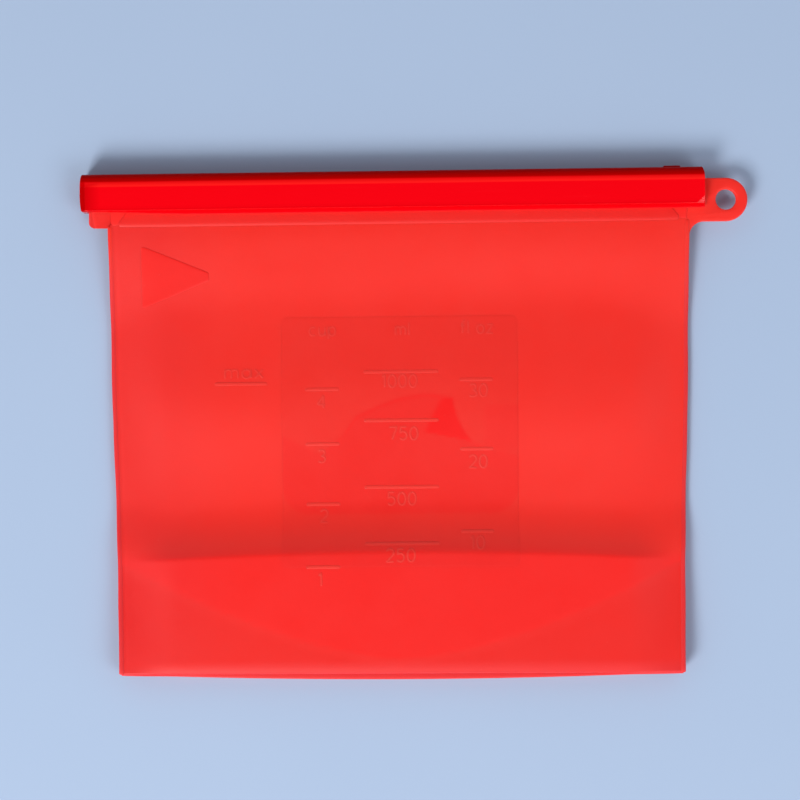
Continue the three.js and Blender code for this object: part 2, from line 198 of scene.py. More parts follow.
def smooth(t):
    t = np.clip(t, 0, 1)
    return t * t * (3 - 2 * t)


def beyond(value, edge, softness):
    """0 well below an edge and 1 well above it, changing over a length of softness."""
    return smooth(0.5 + (value - edge) / softness)


def along_keys(keys, y):
    """Height at y on a curve that levels out at each of its keys."""
    ys, zs = np.array(keys, float).T
    i = np.clip(np.searchsorted(ys, y, side="right") - 1, 0, len(keys) - 2)
    return mix(zs[i], zs[i + 1], smooth((y - ys[i]) / (ys[i + 1] - ys[i])))


def half_width(y):
    places, halves = np.array(HALF_WIDTHS, float).T
    return np.interp(y, places, halves)


def swell(x, y):
    """0 at a side seam, 1 where the wall has its full height."""
    return smooth((half_width(y) - np.abs(x) - SEAM_WIDTH) / (PINCH - SEAM_WIDTH))


def fold_arch(x, y):
    """How far a line across the gusset bends down at x: not at all near the hem, and most at the fold."""
    start = 6
    return FOLD_ARCH * (x / HALF_WIDTHS[0][1]) ** 2 * np.clip((y - start) / (FOLD_Y - start), 0, 1)


def fall_from_fold(y):
    """The front wall's height from its hem up over the gusset's fold and down to the back wall."""
    into_hem = np.clip(1 - (y - FRONT_HEM_LOW) / HEM_ROUNDING, 0, 1)
    not_upright = 0.98
    over_gusset = FOLD_HEIGHT - HEM_DROP * (1 - np.sqrt(1 - not_upright * into_hem ** 2))
    past_fold = np.clip(y - FOLD_Y, 0, FALL_END - FOLD_Y)
    fallen = past_fold ** 2 / (past_fold + FOLD_ONSET)
    all_fallen = (FALL_END - FOLD_Y) ** 2 / (FALL_END - FOLD_Y + FOLD_ONSET)
    return mix(FALL_HEIGHT, over_gusset, (1 - fallen / all_fallen) ** 2)


def swellings(x, y):
    lift = 0
    for centre_x, centre_y, across, up, height in SWELLINGS:
        lift = lift + height * np.exp(-((x - centre_x) / across) ** 2 - ((y - centre_y) / up) ** 2)
    ripple = 0.07 * np.sin(x / 17 + y / 29 + 1.3) + 0.05 * np.sin(x / 41 - y / 13 + 0.4)
    past_gusset, short_of_rims = smooth((y - 62) / 12), smooth((164 - y) / 14)
    return (lift + ripple) * past_gusset * short_of_rims


def front_top(x, y):
    arched = y + fold_arch(x, y)
    middle = np.where(arched < FALL_END, fall_from_fold(arched), along_keys(FRONT_MIDDLE, arched))
    height = mix(along_keys(FRONT_SIDE, y), middle + swellings(x, y), swell(x, y))
    return height - weld_groove(x, y) + gusset_weld(x, y)


def back_bottom(x, y):
    return mix(along_keys(BACK_SIDE, y), along_keys(BACK_MIDDLE, y), swell(x, y))


def back_bow(x, y):
    """How far up the bag the back hem's bow moves a point."""
    return BACK_HEM_BOW * (x / HALF_WIDTHS[0][1]) ** 2 * np.clip(1 - y / FOLD_Y, 0, 1)


def weld_groove(x, y):
    """The wall dips just inside a side seam, where the welding tool has pressed it."""
    from_seam = half_width(y) - np.abs(x) - SEAM_WIDTH
    return WELD_GROOVE["depth"] * np.exp(-((from_seam - WELD_GROOVE["inside"]) / WELD_GROOVE["width"]) ** 2)


def gusset_arc(x):
    """The curved weld that joins the gusset to a wall at its two corners."""
    return GUSSET_ARC["low"] + GUSSET_ARC["rise"] * (np.abs(x) / HALF_WIDTHS[1][1]) ** GUSSET_ARC["power"]


def gusset_weld(x, y):
    """The weld shows through as a soft line, and the wall lies a little lower where it is bonded."""
    line_height, line_width = 0.035, 1.4
    sunk, sinks_over = 0.1, 6
    line = line_height * np.exp(-((y - gusset_arc(x)) / line_width) ** 2)
    return line - sunk * beyond(gusset_arc(x), y, sinks_over)


def bonded(x, y):
    """1 in the two corners where the gusset is bonded to the wall."""
    below_fold = smooth((FOLD_Y - fold_arch(x, y) - y) / 1.5)
    return beyond(gusset_arc(x), y, 2.4) * below_fold


def backed(x, y):
    """1 where the folded gusset lies under the front wall and deepens its colour."""
    shade_reach, softness = 1.8, 7.0  # the colour fades out a little past the fold
    return beyond(FOLD_Y + shade_reach - fold_arch(x, y), y, softness)


def pressed_wedge(x, y):
    """1 in the triangle beside the clinging area's right shoulder that is pressed out completely."""
    top, corner = WEDGE["high"], WEDGE["corner"]
    right = WEDGE["right"] + WEDGE_SIDES["flare"] * ((top - y) / (top - WEDGE["low"])) ** 2
    left = WEDGE["left"] + WEDGE_SIDES["lean"] * (y - corner) / (top - corner)
    floor = corner - WEDGE_SIDES["floor_slope"] * (x - WEDGE["left"])
    sides = beyond(right, x, 1.4) * beyond(x, left, 4.5)
    return sides * beyond(y, floor, 1.2) * beyond(top, y, 1.4)


def clinging(x, y):
    """1 where the front wall clings to the back wall, more along its shoulder and up to 2 in the
    pressed wedge."""
    line_x, line_y = np.array(CLING_LINE, float).T
    line = np.interp(x, line_x, line_y)
    corner = CLING_LOW["corner"]
    into_corner = np.clip(np.abs(x) - (CLING_LOW["half_width"] - corner), 0, corner)
    low = CLING_LOW["y"] + corner - np.sqrt(corner ** 2 - into_corner ** 2)
    area = beyond(line, y, 1.4) * beyond(y, low, 1.6)
    along_shoulder = smooth((x - SHOULDER["left"]) / 3) * smooth((SHOULDER["right"] - x) / 3)
    across_shoulder = np.exp(-((line - y - SHOULDER["width"]) / SHOULDER["width"]) ** 2)
    shoulder = SHOULDER["strength"] * across_shoulder * along_shoulder
    patch = beyond(x, PATCH["left"], 4) * beyond(y, PATCH["low"], 6) * beyond(PATCH["high"], y, 1.2)
    return np.maximum(np.maximum(area, PATCH["strength"] * patch) + shoulder, 2 * pressed_wedge(x, y))


# ---- Mesh helpers ----

def in_row_frame(points):
    return [tuple(Vector(p) * MM + SHIFT) for p in np.asarray(points, float)]


def settled(part):
    """A part of the pouch, moved to where the pouch has settled askew below its rims."""
    points, faces = part
    x, y, z = np.asarray(points, float).T
    below = np.clip(RIM_LOW - y, 0, None)
    return np.stack([x - ASKEW_SIDE * below, y - ASKEW_HEM * x * below / RIM_LOW, z], 1), faces


def loop_sweep(loops, ladder=False):
    """Points and faces of a closed body through closed loops of equally many points.

    A ladder's loops run out along one face and back along the other, so its two ends close in quads.
    """
    loops = np.asarray(loops, float)
    count, size, _ = loops.shape
    faces = []
    for a in range(count - 1):
        for i in range(size):
            j = (i + 1) % size
            faces.append((a * size + i, a * size + j, (a + 1) * size + j, (a + 1) * size + i))
    for start in (0, (count - 1) * size):
        if ladder:
            for i in range(size // 2 - 1):
                faces.append((start + i, start + i + 1, start + size - 2 - i, start + size - 1 - i))
        else:
            faces.append(tuple(range(start, start + size)))
    return loops.reshape(-1, 3), faces


def joined(parts):
    """One list of points and faces from several."""
    points, faces, start = [], [], 0
    for part_points, part_faces in parts:
        points.append(np.asarray(part_points, float))
        faces.extend(tuple(i + start for i in face) for face in part_faces)
        start += len(part_points)
    return np.concatenate(points), faces


def in_scene(name, data):
    """A new object that shows some data, linked into the scene."""
    obj = bpy.data.objects.new(name, data)
    bpy.context.scene.collection.objects.link(obj)
    return obj


def facing_out(mesh, merged=None):
    """Turns a mesh's normals outwards, after merging points that are closer together than merged."""
    work = bmesh.new()
    work.from_mesh(mesh)
    if merged:
        bmesh.ops.remove_doubles(work, verts=work.verts, dist=merged)
    bmesh.ops.recalc_face_normals(work, faces=work.faces)
    work.to_mesh(mesh)
    work.free()


def shaded_smooth(mesh, sharp):
    """Smooth shading, apart from edges that turn by more than an angle in degrees."""
    mesh.polygons.foreach_set("use_smooth", [True] * len(mesh.polygons))
    mesh.set_sharp_from_angle(angle=math.radians(sharp))


def mesh_object(name, part, sharp=40):
    """A smooth-shaded object of one part's points and faces, with its normals facing out."""
    points, faces = part
    mesh = bpy.data.meshes.new(name)
    mesh.from_pydata(in_row_frame(points), [], faces)
    facing_out(mesh)
    shaded_smooth(mesh, sharp)
    return in_scene(name, mesh)


def finished(obj, material, body="pouch", replaces=()):
    """A piece with its material, on its body and in place of its CAD nodes."""
    obj.data.materials.clear()
    obj.data.materials.append(material)
    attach(obj, body)
    if replaces:
        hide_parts(*replaces)
    return obj


def point_values(obj, name, values):
    """Gives an object's points a named value that its material reads, either one for all or one each."""
    attribute = obj.data.attributes.new(name, "FLOAT", "POINT")
    values = np.broadcast_to(np.asarray(values, np.float32), len(obj.data.vertices))
    attribute.data.foreach_set("value", np.ascontiguousarray(values))


def evaluated(obj):
    """Applies an object's modifiers to its mesh."""
    graph = bpy.context.evaluated_depsgraph_get()
    mesh = bpy.data.meshes.new_from_object(obj.evaluated_get(graph))
    obj.modifiers.clear()
    obj.data = mesh
    return obj


def stations(low, high, step, edge=0.0, edge_steps=()):
    """Positions from low to high, about step apart, with extra ones close to both ends."""
    inner = np.linspace(low + edge, high - edge, max(2, round((high - low - 2 * edge) / step) + 1))
    near = [edge * s for s in edge_steps]
    return np.concatenate([[low + n for n in near], inner, [high - n for n in reversed(near)]])


def arc_points(centre, radius, start, end, steps=8):
    """Points (a, b) round a centre, from one angle to another in degrees. radius may be a pair."""
    wide, high = radius if isinstance(radius, tuple) else (radius, radius)
    angles = np.radians(np.linspace(start, end, steps + 1))
    return [(centre[0] + wide * math.cos(a), centre[1] + high * math.sin(a)) for a in angles]


def corner_cut(from_end, radius):
    """How much a round corner takes off a side, this far from the end."""
    return radius - math.sqrt(max(radius ** 2 - (radius - min(from_end, radius)) ** 2, 0))


def round_corners(centres, radius, start, steps):
    """A quarter circle round each of the centres in turn, the first from the start angle on."""
    points = []
    for turn, centre in enumerate(centres):
        points += arc_points(centre, radius, start + 90 * turn, start + 90 * (turn + 1), steps)
    return points


def rounded_box(low, high, bottom, top, radius):
    """Closed loop of (a, b) points round a rectangle with round corners."""
    right, left = high - radius, low + radius
    up, down = top - radius, bottom + radius
    return round_corners([(right, down), (right, up), (left, up), (left, down)], radius, -90, 4)


def drawn_in(loop, inset):
    """A closed loop of (a, b) points moved towards its inside."""
    loop = np.array(loop, float)
    along = np.roll(loop, -1, 0) - np.roll(loop, 1, 0)
    along /= np.linalg.norm(along, axis=1)[:, None] + 1e-9
    inward = np.stack([-along[:, 1], along[:, 0]], 1)
    area = np.sum(loop[:, 0] * np.roll(loop[:, 1], -1) - np.roll(loop[:, 0], -1) * loop[:, 1])
    return loop + inward * inset * (1 if area > 0 else -1)


def rounded_run(loop, places, radius):
    """Loops at places along x, drawn in at the first and the last so that both ends are rounded."""
    turns = [(radius * t, radius * (1 - math.sqrt(1 - (1 - t) ** 2))) for t in (0.0, 0.3, 0.65, 1.0)]
    stops = [(places[0] + along, inset) for along, inset in turns]
    stops += [(x, 0.0) for x in places[1:-1]]
    stops += [(places[-1] - along, inset) for along, inset in reversed(turns)]
    return [[(x, a, b) for a, b in drawn_in(loop, inset)] for x, inset in stops]


# ---- Walls, gusset, seams and hems ----

def across_sides():
    """Places across the pouch from -1 to 1, closer together near the side seams."""
    near_seam, reach = 6, 105
    half = np.concatenate([np.arange(0, near_seam, 0.5), np.linspace(near_seam, reach, 68)]) / reach
    return np.concatenate([half - 1, 1 - half[-2::-1]])


def wall_rows(low, high):
    """Places up a wall, closer together at the hem and over the fold."""
    return np.concatenate([
        np.arange(low, low + 7, 0.6), np.arange(low + 7.4, FOLD_Y - 4, 1.5),
        np.arange(FOLD_Y - 4, FOLD_Y + 4, 0.7), np.linspace(FOLD_Y + 4.4, high, 82),
    ])


def wall_loops(low, high, top, bottom, bow=None):
    """A wall's loops, one for each place across: up its top face and back down its lower face."""
    rows = wall_rows(low, high)
    inset = SEAM_WIDTH / 2  # the wall ends inside the side seam
    loops = []
    for side in across_sides():
        x = side * (half_width(rows) - inset)
        y = rows + (bow(x, rows) if bow else 0)
        upper = np.stack([x, y, top(x, y)], 1)
        lower = np.stack([x, y, bottom(x, y)], 1)
        loops.append(np.concatenate([upper, lower[::-1]]))
    return loops


def over_gusset_values(obj, x, y):
    """What the gusset under a wall or plate does to its colour."""
    point_values(obj, "bonded", bonded(x, y))
    point_values(obj, "backed", backed(x, y))


def front_wall(material):
    low, high = FRONT_HEM_LOW + HEM_INSET, RIM_LOW + RIM_OVERLAP
    loops = wall_loops(low, high, front_top, lambda x, y: front_top(x, y) - WALL)
    part = loop_sweep(loops, ladder=True)
    obj = mesh_object("front_wall_silicone", settled(part))
    x, y, _ = part[0].T
    over_gusset_values(obj, x, y)
    point_values(obj, "clinging", clinging(x, y) * inside_plate(x, y))
    # Painted sheen: a greyer pink towards the left side, where the key light falls, and over the hem's
    # rounded edge, where it tones its highlight down to a pale pink.
    towards_left_seam = 0.4 * smooth((-x - 55) / 45)
    over_hem = 0.55 * smooth((9 - y) / 5)
    point_values(obj, "weld_tone_and_painted_sheen", np.maximum(towards_left_seam, over_hem))
    return finished(obj, material, replaces=["front_wall"])


def back_wall(material):
    low, high = HEM_INSET, RIM_LOW + RIM_OVERLAP
    loops = wall_loops(low, high, lambda x, y: back_bottom(x, y) + WALL, back_bottom, back_bow)
    part = loop_sweep(loops, ladder=True)
    obj = mesh_object("back_wall_silicone", settled(part))
    x, y, _ = part[0].T
    over_gusset_values(obj, x, y)
    return finished(obj, material, replaces=["back_wall"])


def bottom_gusset(material):
    """One sheet folded into a U that opens downwards, fitted between the two walls."""
    centre = FOLD_Y - FOLD_RADIUS
    back_leaf = [(y, 0.0) for y in np.linspace(HEM_WIDTH - 1, centre, 26)]
    front_leaf = [(y, 2 * FOLD_RADIUS) for y in np.linspace(centre, FRONT_HEM_LOW + HEM_WIDTH - 1, 26)]
    fold = arc_points((centre, FOLD_RADIUS), FOLD_RADIUS, -90, 90, 10)
    inner = FOLD_RADIUS - WALL
    inner_fold = arc_points((centre, FOLD_RADIUS), inner, 90, -90, 10)
    outside = back_leaf[:-1] + fold + front_leaf[1:]
    inside = ([(y, 2 * FOLD_RADIUS - WALL) for y, _ in reversed(front_leaf[1:])] + inner_fold
              + [(y, WALL) for y, _ in reversed(back_leaf[:-1])])
    profile = np.array(outside + inside)
    rows, level = profile[:, 0], profile[:, 1] / (2 * FOLD_RADIUS)
    loops = []
    for side in across_sides()[::2]:
        x = side * (half_width(rows) - SEAM_WIDTH / 2)
        floor = back_bottom(x, rows) + WALL + LAYER_GAP
        roof = front_top(x, np.minimum(rows, FOLD_Y - 2.5)) - WALL - LAYER_GAP
        y = rows - fold_arch(x, rows) + np.where(level < 0.5, back_bow(x, rows), 0)
        loops.append(np.stack([x, y, mix(floor, roof, level)], 1))
    obj = mesh_object("bottom_gusset_silicone", settled(loop_sweep(loops, ladder=True)))
    return finished(obj, material, replaces=["bottom_gusset"])


def side_seam(name, side, material):
    """Welded edge of both walls and the gusset: a rounded strip from the hems up to the rims."""
    high = RIM_LOW + 0.6  # a little way into the rims
    rows = stations(FRONT_HEM_LOW, high, 1.6, SEAM_ROUNDING, (0.0, 0.15, 0.5))
    loops = []
    for y in rows:
        inset = corner_cut(min(y - FRONT_HEM_LOW, high - y), SEAM_ROUNDING)
        bottom = float(along_keys(BACK_SIDE, y))
        top = float(along_keys(FRONT_SIDE, y)) + SEAM_PROUD
        uneven_trim = 0.12 * math.sin(y / 9.0) ** 2
        outer = half_width(y) - uneven_trim
        section = rounded_box(half_width(y) - SEAM_WIDTH, outer, bottom, top, radius=0.7)
        loops.append([(side * a, y, b) for a, b in drawn_in(section, inset)])
    obj = mesh_object(f"{name}_silicone", settled(loop_sweep(loops)))
    from_rims = RIM_LOW - np.repeat(rows, len(loops[0]))
    # The seam's greyer pink is partly its weld tone and partly a painted sheen; it fades out towards the
    # rims.
    point_values(obj, "weld_tone_and_painted_sheen", smooth(from_rims / 30))
    return finished(obj, material, replaces=[name])


def hem(name, height_at, bow, low, width_inwards, material):
    """A bonded hem across the pouch, with its section at height_at."""
    thickness = 2 * WALL + 0.3
    section = rounded_box(0, width_inwards, 0, thickness, radius=0.75)
    width = float(half_width(low)) - 0.6
    loops = []
    for side in across_sides()[::2]:
        x = side * width
        lift = height_at(x)
        loops.append([(x, low + a + bow(x), lift + b) for a, b in section])
    obj = mesh_object(f"{name}_silicone", settled(loop_sweep(loops)))
    # Weld tone along the hem, partly a painted sheen.
    point_values(obj, "weld_tone_and_painted_sheen", 1)
    return finished(obj, material, replaces=[name])


def hems(material):
    """The front hem lies flush under the wall's rounded edge, and the back hem reaches in below it."""
    below_top = 2 * WALL + 0.38
    hem("front_hem", lambda x: float(front_top(x, FRONT_HEM_LOW + 0.75)) - below_top, lambda x: 0,
        FRONT_HEM_LOW, HEM_WIDTH, material)
    hem("back_hem", lambda x: float(back_bottom(x, HEM_WIDTH)), lambda x: float(back_bow(x, HEM_WIDTH)),
        0, HEM_WIDTH + BACK_HEM_REACH, material)


# ---- Rims and tab ----

def rim_section(reach):
    """A rim's closed section in (y, height over the meeting plane): its bead, the band that the bar
    grips, which falls a little towards the pouch, and a soft lower edge."""
    bead = arc_points((BEAD_Y, reach), BEAD_RADIUS, 0, 180, 8)
    edge_centre = (RIM_LOW + RIM_EDGE[0], reach - RIM_FALL - RIM_EDGE[1])
    return ([(RIM_LOW, 0.0), (RIM_HIGH - 0.3, 0.0), (RIM_HIGH, 0.3), (RIM_HIGH, reach)] + bead
            + [(y, reach) for y in (177.0, 174.5, BAR_LOW + 0.3)]
            + arc_points(edge_centre, RIM_EDGE, 90, 180, 6))


def rim_loops(section, left, right, base, direction):
    """The section swept from left(y) to right(y), so that the ends can be slanted."""
    loops = []
    for t in stations(0, 1, 0.02, RIM_END["share"], (0.0, 0.25, 0.6)):
        inset = RIM_END["rounding"] * corner_cut(min(t, 1 - t) / RIM_END["share"], 1)
        loops.append([(mix(left(a), right(a), t), a, base + direction * b)
                      for a, b in drawn_in(section, inset)])
    return loops


def front_rim(material):
    """The front rim: a thin strip with the thicker gripping band over it, slanted at both ends."""
    def slant(y):
        up = np.clip((y - BAND_SLANT["start"]) / BAND_SLANT["up"], 0, 1)
        return BAND_SLANT["across"] * float(up)

    def band_left(y):
        return FRONT_RIM_LEFT - 0.3 + slant(y)

    def band_right(y):
        return RIM_RIGHT - 2.4 - slant(y)

    base = RIM_PLANE + RIM_GAP
    band = rim_loops(rim_section(RIM_THICKNESS + FRONT_BAND_PROUD), band_left, band_right, base, 1)
    strip = rim_loops(rim_section(RIM_THICKNESS - FRONT_STRIP_SUNK),
                      lambda y: FRONT_RIM_LEFT - 3.0, lambda y: RIM_RIGHT + 0.7, base, 1)
    obj = mesh_object("front_rim_silicone", joined([loop_sweep(strip), loop_sweep(band)]))
    point_values(obj, "clinging", 1.25)  # pressed flat on the back rim, and painted a deeper, brighter red for the red glow that the bar's plastic throws on it
    return finished(obj, material, replaces=["front_rim"])


def back_rim(material):
    """The back rim, with a round lower corner on the stub that reaches out past the left seam."""
    def left(y):
        return BACK_RIM_LEFT + corner_cut(max(y - RIM_LOW, 0), BACK_RIM_CORNER)

    section = rim_section(RIM_THICKNESS)
    loops = rim_loops(section, left, lambda y: RIM_RIGHT + 1, RIM_PLANE - RIM_GAP, -1)
    obj = mesh_object("back_rim_silicone", loop_sweep(loops))
    point_values(obj, "weld_tone_and_painted_sheen", 0.35)
    return finished(obj, material, replaces=["back_rim"])


def tab_outline():
    """Outline of the hanging tab, filleted into the side seam."""
    centre_y = RIM_HIGH - TAB_RADIUS
    low = centre_y - TAB_RADIUS
    seam_edge = float(half_width(RIM_LOW)) - 0.2
    root = RIM_RIGHT - 3
    under_seam = seam_edge - 0.8
    fillet = arc_points((seam_edge + TAB_FILLET, low - TAB_FILLET), TAB_FILLET, 180, 90, 10)
    nose = arc_points((TAB_CENTRE_X, centre_y), TAB_RADIUS, -90, 90, 28)
    inner = [(root, RIM_HIGH), (root, RIM_LOW + 0.4), (under_seam, RIM_LOW + 0.4)]
    return fillet + nose + inner + [(under_seam, low - TAB_FILLET)]


def hanging_tab(material):
    """Filled curve with a hole and a rounded edge, turned into a mesh."""
    rounding = 0.65
    curve = bpy.data.curves.new("hanging_tab_silicone", "CURVE")
    curve.dimensions = "2D"
    curve.fill_mode = "BOTH"
    curve.extrude = (TAB_THICKNESS / 2 - rounding) * MM
    curve.bevel_depth = rounding * MM
    curve.bevel_resolution = 3
    curve.offset = -rounding * MM
    hole = arc_points((TAB_CENTRE_X, RIM_HIGH - TAB_RADIUS), TAB_HOLE_RADIUS, 360, 0, 48)[:-1]
    for outline in (tab_outline(), hole):
        spline = curve.splines.new("POLY")
        spline.points.add(len(outline) - 1)
        for point, (x, y) in zip(spline.points, outline):
            point.co = (x * MM + SHIFT.x, y * MM + SHIFT.y, 0, 1)
        spline.use_cyclic_u = True
    shape = in_scene("tab_shape", curve)
    shape.location.z = RIM_PLANE * MM
    bpy.context.view_layer.update()
    mesh = bpy.data.meshes.new_from_object(shape.evaluated_get(bpy.context.evaluated_depsgraph_get()))
    mesh.transform(shape.matrix_world)
    bpy.data.objects.remove(shape)
    facing_out(mesh, merged=1e-6)
    shaded_smooth(mesh, 35)
    return finished(in_scene("hanging_tab_silicone", mesh), material, replaces=["hanging_tab"])


# ---- Raised marks ----

def inside_plate(x, y):
    """1 on the scale plate, fading to 0 over its edges."""
    across = np.minimum(x - PLATE["left"], PLATE["right"] - x)
    up = np.minimum(y - PLATE["low"], PLATE["high"] - y)
    return smooth(0.5 + np.minimum(across, up) / 0.8)


def raised_pad(low, high, limits, proud, edge, step, sideways=False):
    """A thin pad on the front wall, with a rounded edge. limits(a) gives where its section at a starts
    and ends. a runs along y, or along x if sideways."""
    places = stations(low, high, step, edge, (0.0, 0.2, 0.5))
    start, end = limits((low + high) / 2)
    shares = (stations(start, end, step, edge, (0.0, 0.2, 0.5)) - start) / (end - start)
    loops = []
    for a in places:
        start, end = limits(a)
        row = mix(start, end, shares)
        x, y = (np.full_like(row, a), row) if sideways else (row, np.full_like(row, a))
        near = np.minimum(np.minimum(row - start, end - row), min(a - low, high - a))
        rounded = np.sqrt(1 - (1 - np.clip(near / edge, 0, 1)) ** 2)
        wall = front_top(x, y)
        upper = wall + np.where(near < 1e-6, -PAD_SINK, proud * rounded)
        top = np.stack([x, y, upper], 1)
        bottom = np.stack([x, y, wall - PAD_SINK - 0.1], 1)
        loops.append(np.concatenate([top, bottom[::-1]]))
    return loop_sweep(loops, ladder=True)


def scale_plate(material):
    def limits(y):
        cut = corner_cut(min(y - PLATE["low"], PLATE["high"] - y), PLATE_CORNER)
        return PLATE["left"] + cut, PLATE["right"] - cut

    part = raised_pad(PLATE["low"], PLATE["high"], limits, PLATE_PROUD, edge=0.5, step=0.8)
    obj = mesh_object("scale_plate_silicone", settled(part))
    x, y, _ = part[0].T
    over_gusset_values(obj, x, y)
    point_values(obj, "clinging", np.maximum(clinging(x, y), 0.15))
    return finished(obj, material, replaces=["volume_scale"])


def closing_arrow(material):
    def limits(x):
        from_left, from_right = x - ARROW["left"], ARROW["right"] - x
        across = mix(ARROW["height"], ARROW["tip"], from_left / (ARROW["right"] - ARROW["left"]))
        cut = corner_cut(from_left, ARROW_CORNERS["left"]) + corner_cut(from_right, ARROW_CORNERS["right"])
        return ARROW["y"] - across / 2 + cut, ARROW["y"] + across / 2 - cut

    part = raised_pad(
        ARROW["left"], ARROW["right"], limits, MARK_PROUD, edge=0.6, step=0.9, sideways=True)
    obj = mesh_object("closing_arrow_silicone", settled(part))
    point_values(obj, "clinging", 1.35)
    return finished(obj, material, replaces=["closing_arrow"])


def resampled(path, step):
    """Points along a path at most step apart."""
    path = np.array(path, float)
    lengths = np.concatenate([[0], np.cumsum(np.linalg.norm(np.diff(path, axis=0), axis=1))])
    places = np.linspace(0, lengths[-1], max(2, math.ceil(lengths[-1] / step) + 1))
    return np.stack([np.interp(places, lengths, path[:, 0]), np.interp(places, lengths, path[:, 1])], 1)


def ridge(path, width, proud, step=0.35):
    """A raised round-ended stroke on the front wall along a path of (x, y) points."""
    path = resampled(path, step)
    along = np.gradient(path, axis=0)
    along /= np.linalg.norm(along, axis=1)[:, None]
    sideways = np.stack([-along[:, 1], along[:, 0]], 1)
    length = np.linalg.norm(np.diff(path, axis=0), axis=1).sum()
    done = np.linspace(0, length, len(path))
    turn = np.radians(np.linspace(0, 180, 9))
    height = proud * np.sin(turn) ** 0.5
    height[[0, -1]] = -STROKE_SINK
    loops = []
    for point, side, place in zip(path, sideways, done):
        from_end = min(place, length - place) / (width / 2)
        share = max(0.35, math.sqrt(1 - (1 - min(from_end, 1)) ** 2))
        x, y = (point + side * (np.cos(turn)[:, None] * width / 2 * share)).T
        loops.append(np.stack([x, y, front_top(x, y) + height * share], 1))
    return loop_sweep(loops)


def ring(centre, radius):
    """A closed round stroke, drawn a little past its start."""
    return arc_points(centre, radius, 90, 460, 24)


# Strokes of each character on a line of cap height 1, with the character's width.
CHARACTERS = {
    "0": (0.60, [ring((0.30, 0.50), (0.29, 0.50))]),
    "1": (0.26, [[(0.0, 0.80), (0.20, 1.0), (0.20, 0.0)]]),
    "2": (0.60, [arc_points((0.30, 0.71), (0.28, 0.29), 165, -32) + [(0.02, 0.0), (0.60, 0.0)]]),
    "3": (0.58, [arc_points((0.27, 0.76), (0.25, 0.24), 150, -90)
                 + arc_points((0.27, 0.26), (0.30, 0.26), 88, -150)]),
    "4": (0.64, [[(0.46, 0.0), (0.46, 1.0), (0.0, 0.30), (0.64, 0.30)]]),
    "5": (0.60, [[(0.54, 1.0), (0.10, 1.0), (0.06, 0.56)]
                 + arc_points((0.28, 0.33), (0.30, 0.33), 130, -150)]),
    "7": (0.60, [[(0.0, 1.0), (0.60, 1.0), (0.22, 0.0)]]),
    "a": (0.56, [ring((0.27, 0.34), (0.26, 0.34)), [(0.55, 0.70), (0.55, 0.0)]]),
    "c": (0.52, [arc_points((0.29, 0.34), (0.27, 0.34), 48, 312)]),
    "f": (0.36, [arc_points((0.30, 0.80), (0.16, 0.20), 70, 180) + [(0.14, 0.0)],
                 [(0.0, 0.66), (0.34, 0.66)]]),
    "l": (0.06, [[(0.03, 0.0), (0.03, 1.0)]]),
    "m": (0.84, [[(0.03, 0.0), (0.03, 0.70)],
                 arc_points((0.23, 0.46), (0.19, 0.22), 170, 0) + [(0.42, 0.0)],
                 arc_points((0.62, 0.46), (0.19, 0.22), 170, 0) + [(0.81, 0.0)]]),
    "o": (0.56, [ring((0.28, 0.34), (0.27, 0.34))]),
    "p": (0.56, [ring((0.30, 0.34), (0.26, 0.34)), [(0.02, 0.70), (0.02, -0.28)]]),
    "u": (0.54, [[(0.03, 0.70)] + arc_points((0.27, 0.26), (0.24, 0.26), 180, 360) + [(0.51, 0.70)],
                 [(0.51, 0.30), (0.51, 0.0)]]),
    "x": (0.50, [[(0.0, 0.70), (0.50, 0.0)], [(0.50, 0.70), (0.0, 0.0)]]),
    "z": (0.50, [[(0.02, 0.70), (0.48, 0.70), (0.0, 0.0), (0.50, 0.0)]]),
    " ": (0.20, []),
}


def lettering(text, centre_x, centre_y, stretch=1.0):
    """Raised strokes of one label, with its middle at the centre."""
    width = sum(CHARACTERS[c][0] for c in text) + LETTER_SPACING * (len(text) - 1)
    start = -width / 2
    strokes = []
    for character in text:
        advance, paths = CHARACTERS[character]
        for path in paths:
            place = [(centre_x + (start + a) * CAP_HEIGHT * stretch, centre_y + (b - 0.5) * CAP_HEIGHT)
                     for a, b in path]
            strokes.append(ridge(place, STROKE_WIDTH, MARK_PROUD * 0.7))
        start += advance + LETTER_SPACING
    return strokes


def nib(x, y):
    """The tiny moulding nib left at the end of a mark."""
    return ridge([(x, y - 0.1), (x + 0.25, y - 0.2)], 0.5, MARK_PROUD + 0.22, step=0.1)


def scale_marks(material):
    strokes = []
    for column in TICKS:
        for y in column["heights"]:
            strokes.append(ridge([(column["left"], y), (column["right"], y)], TICK_WIDTH, MARK_PROUD))
            strokes.append(nib(column["left"] + 0.3, y))
    for text, x, y in LABELS:
        strokes += lettering(text, x, y)
    obj = mesh_object("scale_marks_silicone", settled(joined(strokes)), sharp=60)
    point_values(obj, "raised", 1)
    return finished(obj, material)


def max_fill_mark(material):
    ends = [(MAX_MARK["left"], MAX_MARK["y"]), (MAX_MARK["right"], MAX_MARK["y"])]
    line = ridge(ends, TICK_WIDTH, MARK_PROUD)
    text, x, y = MAX_LABEL
    strokes = [line] + lettering(text, x, y, stretch=1.3)
    obj = mesh_object("max_fill_mark_silicone", settled(joined(strokes)), sharp=60)
    point_values(obj, "raised", 1)
    return finished(obj, material, replaces=["max_fill_mark"])


# ---- Slide bar ----

